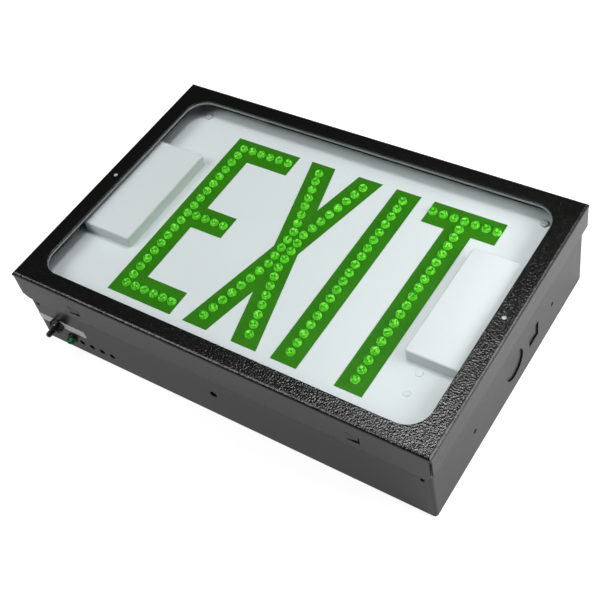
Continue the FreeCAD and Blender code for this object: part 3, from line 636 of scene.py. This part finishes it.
# End walls: painted shade on the step walls of the knockouts' recesses

KNOCKOUT_RISE = 31.5 * MM
ROUND_Y, ROUND_RADIUS = 2.5 * MM, 14.3 * MM
SQUARE_Y, SQUARE_HALF = 37.0 * MM, 8.25 * MM
SHADE_START, SHADE_DEPTH, SHADE_WIDTH = 0.02 * MM, 1.2 * MM, 0.3 * MM  # depths of the band's edges, and its width


def line_recess(shape, run, middle_y, wall, inward):
    """A thin band that lines the side of a recess, whose outline is (y, z) pairs about its middle."""
    reach = max(abs(y) for y, _ in run)
    share = 1 - SHADE_WIDTH / reach
    shrunk = [(y * share, z * share) for y, z in run]
    levels = ((run, SHADE_START), (shrunk, SHADE_START), (shrunk, SHADE_DEPTH), (run, SHADE_DEPTH))
    rings = [[shape.verts.new((wall + inward * sink, middle_y + y, KNOCKOUT_RISE + z)) for y, z in points]
             for points, sink in levels]
    join(shape, rings + rings[:1])


def make_knockout_shade():
    """A black band of painted shade on the step wall of each knockout's shallow recess."""
    low, high = corners("housing")
    circle = circle_points(ROUND_RADIUS, 60)
    square = [(SQUARE_HALF * y, SQUARE_HALF * z) for y, z in ((1, 1), (-1, 1), (-1, -1), (1, -1))]

    def fill(shape):
        line_recess(shape, circle, ROUND_Y, high.x, -1)
        line_recess(shape, square, SQUARE_Y, high.x, -1)
        line_recess(shape, circle, ROUND_Y, low.x, 1)
    new_piece("knockout_shade", fill, extra["knockout_painted_shade"], smooth=False)


# Lower wall: label strip, test switch and pilot lamp

LABEL_X, LABEL_Z = -172.5 * MM, 32.6 * MM
LABEL_HALF_X, LABEL_HALF_Z, LABEL_CORNER = 27.5 * MM, 4.5 * MM, 0.8 * MM
LABEL_STAND, LABEL_SUNK = 0.12 * MM, 0.05 * MM
BUSHING_RADIUS = 5.4 * MM
NUT_SIDES = 48


def wall_fitting(node):
    """Where a round part starts at the lower wall, with its radius and its length out of the wall."""
    low, high = corners(node)
    centre = middle(node)
    return Vector((centre.x, high.y, centre.z)), (high.x - low.x) / 2, high.y - low.y


def make_label():
    """A bare strip where the test label would be."""
    wall = corners("housing")[0].y
    run = rounded_outline(LABEL_HALF_X, LABEL_HALF_Z, LABEL_CORNER, 3)

    def fill(shape):
        rings = [[shape.verts.new((LABEL_X + x, y, LABEL_Z + z)) for x, z in run]
                 for y in (wall - LABEL_STAND, wall + LABEL_SUNK)]
        shape.faces.new(rings[0])
        join(shape, rings)
    new_piece("label_strip", fill, extra["pale_label"], smooth=False)


def hexagon_points(flat, count):
    """Points of a hexagon about the origin, from half its width over flats."""
    points = []
    for k in range(count):
        angle = 2 * math.pi * k / count
        toward = (angle + math.pi / 6) % (math.pi / 3) - math.pi / 6
        reach = flat / math.cos(toward - math.copysign(math.pi / 6, toward))
        points.append((reach * math.cos(angle), reach * math.sin(angle)))
    return points


def make_nut():
    """The hexagonal nut, with its corners turned off at both ends."""
    start, corner, length = wall_fitting("switch_nut")
    chamfer, dish = 0.9 * MM, 0.7 * MM
    flat = corner * math.cos(math.pi / 6)
    turned_off = circle_points(flat, NUT_SIDES)
    hexagon = hexagon_points(flat, NUT_SIDES)
    sections = ((circle_points(BUSHING_RADIUS + 0.2 * MM, NUT_SIDES), 0),
                (turned_off, 0), (hexagon, chamfer), (hexagon, length - chamfer), (turned_off, length),
                (circle_points(BUSHING_RADIUS + 0.6 * MM, NUT_SIDES), length),
                (circle_points(BUSHING_RADIUS + 0.1 * MM, NUT_SIDES), length - dish))

    def fill(shape):
        join(shape, [[shape.verts.new((start.x + x, start.y - height, start.z + z)) for x, z in run]
                     for run, height in sections])
    new_piece("nut", fill, extra["blackened_steel"], stands_for=["switch_nut"])


def make_thread():
    """The bushing's thread, which shows past the nut."""
    start, _, nut_length = wall_fitting("switch_nut")
    end = start.y - corners("switch_body")[0].y
    root, crest, pitch = BUSHING_RADIUS + 0.02 * MM, BUSHING_RADIUS + 0.28 * MM, 0.5 * MM
    profile = []
    height = nut_length - 0.6 * MM
    while height < end - pitch:
        profile += [(root, height), (crest, height + pitch / 2)]
        height += pitch
    profile += [(root, end - 0.2 * MM), (BUSHING_RADIUS - 0.5 * MM, end + 0.02 * MM)]

    def fill(shape):
        turned(shape, profile, start, OUT, sides=40)
    new_piece("bushing_thread", fill, materials["black_plastic"])


def make_button():
    """The push button with its softly domed end."""
    start, radius, length = wall_fitting("test_button")
    dome = 0.75 * radius
    profile = [(0, 0), (radius, 0), (radius, length - dome)]
    for angle in [math.radians(turn) for turn in (20, 40, 60, 75)]:
        profile.append((radius * (0.35 + 0.65 * math.cos(angle)), length - dome + dome * math.sin(angle)))
    profile.append((0, length))

    def fill(shape):
        turned(shape, profile, start, OUT, sides=32)
    new_piece("button_cap", fill, materials["black_plastic"], body="button", stands_for=["test_button"])


def make_pilot():
    """The pilot lamp's dome."""
    start, radius, length = wall_fitting("pilot_lamp")
    profile = [(0, 0), (radius, 0), (radius, length - radius)]
    profile += [(radius * math.cos(angle), length - radius * (1 - math.sin(angle))) for angle in ROUNDING]
    profile.append((0, length))

    def fill(shape):
        layer = shape.verts.layers.float_color.new(RING_LAYER)
        turned(shape, profile, start, OUT, sides=32, ring_layer=layer)
    new_piece("pilot_dome", fill, extra["pilot_green"], stands_for=["pilot_lamp"])


def make_pilot_ring():
    """The rounded ring around the pilot lamp."""
    lamp_start, lamp_radius, _ = wall_fitting("pilot_lamp")
    ring_start, outer, depth = wall_fitting("pilot_bezel")
    inner = lamp_radius + 0.1 * MM
    profile = [(outer, 0), (outer, 0.5 * depth), (outer - 0.3 * depth, 0.9 * depth),
               (outer - 0.6 * depth, depth), (inner, 0.8 * depth), (inner, 0)]

    def fill(shape):
        turned(shape, profile, Vector((lamp_start.x, ring_start.y, lamp_start.z)), OUT, sides=40)
    new_piece("pilot_ring", fill, materials["black_plastic"], stands_for=["pilot_bezel"])


# Floor, light and camera

FLOOR_HALF = 6.0
FLOOR_DROP = 0.2 * MM
FLOOR_GLOW = (("Is Camera Ray", 0.8), ("Is Glossy Ray", 0.24))
STAND = (0.0, 0.0, 0.05)  # the middle of the part, where three of the lamps point
LENS_LENGTH, SENSOR_WIDTH = 64.77, 36.0
CAMERA_PLACE = (0.43111, -0.45738, 0.74260)
AZIMUTH, ELEVATION, ROLL = math.radians(43.79), math.radians(49.24), math.radians(-14.345)


def floor_paint():
    """Pale matt floor that keeps the shadow, and looks white to the camera and grey in reflections."""
    material, tree, out = empty_material("floor")
    matt = add(tree, "ShaderNodeBsdfDiffuse", Color=(0.5, 0.5, 0.5))
    path = tree.nodes.new("ShaderNodeLightPath")
    strength = 0.0
    for ray, share in FLOOR_GLOW:
        strength = arithmetic(tree, "MULTIPLY_ADD", path.outputs[ray], share, strength)
    lift = add(tree, "ShaderNodeEmission", Color=(1, 1, 1), Strength=strength)
    both = tree.nodes.new("ShaderNodeAddShader")
    feed(tree, both.inputs[0], matt.outputs["BSDF"])
    feed(tree, both.inputs[1], lift.outputs["Emission"])
    fill_in(tree, out, Surface=both.outputs["Shader"])
    return material


def make_floor():
    """A wide floor just under the part."""
    shape = bmesh.new()
    bmesh.ops.create_grid(shape, x_segments=1, y_segments=1, size=FLOOR_HALF)
    mesh = bpy.data.meshes.new("floor")
    shape.to_mesh(mesh)
    shape.free()
    mesh.materials.append(floor_paint())
    floor = bpy.data.objects.new("floor", mesh)
    floor.location.z = -FLOOR_DROP
    scene.collection.objects.link(floor)


def make_world():
    """A white backdrop that lights the part only faintly."""
    world = bpy.data.worlds.new("studio")
    scene.world = world
    world.use_nodes = True
    tree = world.node_tree
    path = tree.nodes.new("ShaderNodeLightPath")
    shade = mix(tree, path.outputs["Is Camera Ray"], (0.03, 0.0305, 0.031), (1.0, 1.0, 1.0))
    fill_in(tree, tree.nodes["Background"], Color=shade, Strength=1.0)


def soft_light(name, place, target, size, power):
    """A rectangular lamp that points at a target; its power is in watts."""
    data = bpy.data.lights.new(name, "AREA")
    data.shape = "RECTANGLE"
    data.size, data.size_y = size
    data.energy = power
    light = bpy.data.objects.new(name, data)
    light.location = place
    light.rotation_euler = (Vector(target) - Vector(place)).to_track_quat("-Z", "Y").to_euler()
    scene.collection.objects.link(light)


def make_lights():
    """A small lamp overhead for the sparkle, two large ones around it and one low beside the right wall."""
    soft_light("overhead", (-0.06, 0.25, 1.2), STAND, size=(0.3, 0.3), power=4.8)
    soft_light("back", (0.9, 0.5, 1.6), STAND, size=(1.1, 1.1), power=6.0)
    soft_light("fill", (-0.9, -0.75, 1.5), STAND, size=(1.2, 1.0), power=16.0)
    soft_light("side", (0.78, 0.1, 0.2), (0.75, 0.1, 0.0), size=(0.4, 0.9), power=5.6)


def make_camera():
    """Three quarters on from the lower right, from well above, and turned on its own axis."""
    data = bpy.data.cameras.new("camera")
    data.lens = LENS_LENGTH
    data.sensor_width = SENSOR_WIDTH
    camera = bpy.data.objects.new("camera", data)
    away = Vector((math.sin(AZIMUTH) * math.cos(ELEVATION), -math.cos(AZIMUTH) * math.cos(ELEVATION),
                   math.sin(ELEVATION)))
    aim = (-away).to_track_quat("-Z", "Y").to_matrix() @ Matrix.Rotation(ROLL, 3, "Z")
    camera.matrix_world = Matrix.Translation(CAMERA_PLACE) @ aim.to_4x4()
    scene.collection.objects.link(camera)
    scene.camera = camera


dress_nodes()
make_legend()
make_lamps()
make_lens_highlight_bead()
make_panel_screws()
make_cover_screws()
make_studs()
make_caps()
make_knockout_shade()
make_label()
make_nut()
make_thread()
make_button()
make_pilot()
make_pilot_ring()
make_floor()
make_world()
make_lights()
make_camera()
scene.view_settings.view_transform = "Standard"
